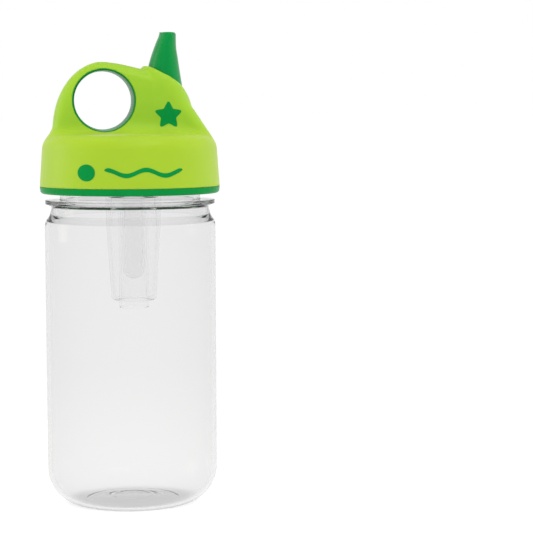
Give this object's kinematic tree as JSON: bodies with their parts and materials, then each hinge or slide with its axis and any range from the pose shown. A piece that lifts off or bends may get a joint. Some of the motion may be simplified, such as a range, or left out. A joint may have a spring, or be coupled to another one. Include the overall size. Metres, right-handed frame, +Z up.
{
  "type": "kids water bottle",
  "caption": "Child's drinking bottle with a clear body, a screw lid with a loop grip, a soft spout and a pull-off spill valve inside.",
  "frame": {"origin": "middle of the base, where the bottle stands", "axes": "+Z up along the bottle's axis, +X towards the spout, the grip's flat sides facing -Y and +Y"},
  "size_m": [0.071, 0.071, 0.1865],
  "materials": {
    "clear_wall": "clear copolyester, glossy",
    "dark_green": "moulded polypropylene, semi-gloss",
    "lime_grip": "soft-touch overmould, satin",
    "soft_spout": "soft elastomer, smooth",
    "seal_silicone": "translucent silicone, smooth",
    "frosted_valve": "frosted translucent plastic"
  },
  "bodies": {
    "bottle": {"bottle_body": "clear_wall"},
    "seal": {"neck_seal": "seal_silicone"},
    "lid": {"cap_core": "dark_green", "cap_shell": "lime_grip", "spout": "soft_spout", "vent_valve": "seal_silicone"},
    "valve": {"valve_cup": "frosted_valve", "valve_membrane": "seal_silicone", "valve_retainer": "frosted_valve"}
  },
  "joints": [
    {"name": "lid_lift", "type": "slide", "parent": "bottle", "child": "seal", "axis": [0, 0, 1], "range_m": [0, 0.065]},
    {"name": "lid_turn", "type": "hinge", "parent": "seal", "child": "lid", "pos_m": [0, 0, 0.14], "axis": [0, 0, 1], "range_deg": [0, 4680]},
    {"name": "valve_pull", "type": "slide", "parent": "lid", "child": "valve", "axis": [0, 0, -1], "range_m": [0, 0.025]}
  ],
  "couplings": [
    {"joint": "lid_lift", "follows": "lid_turn", "m_per_rad": 0.00079577}
  ]
}
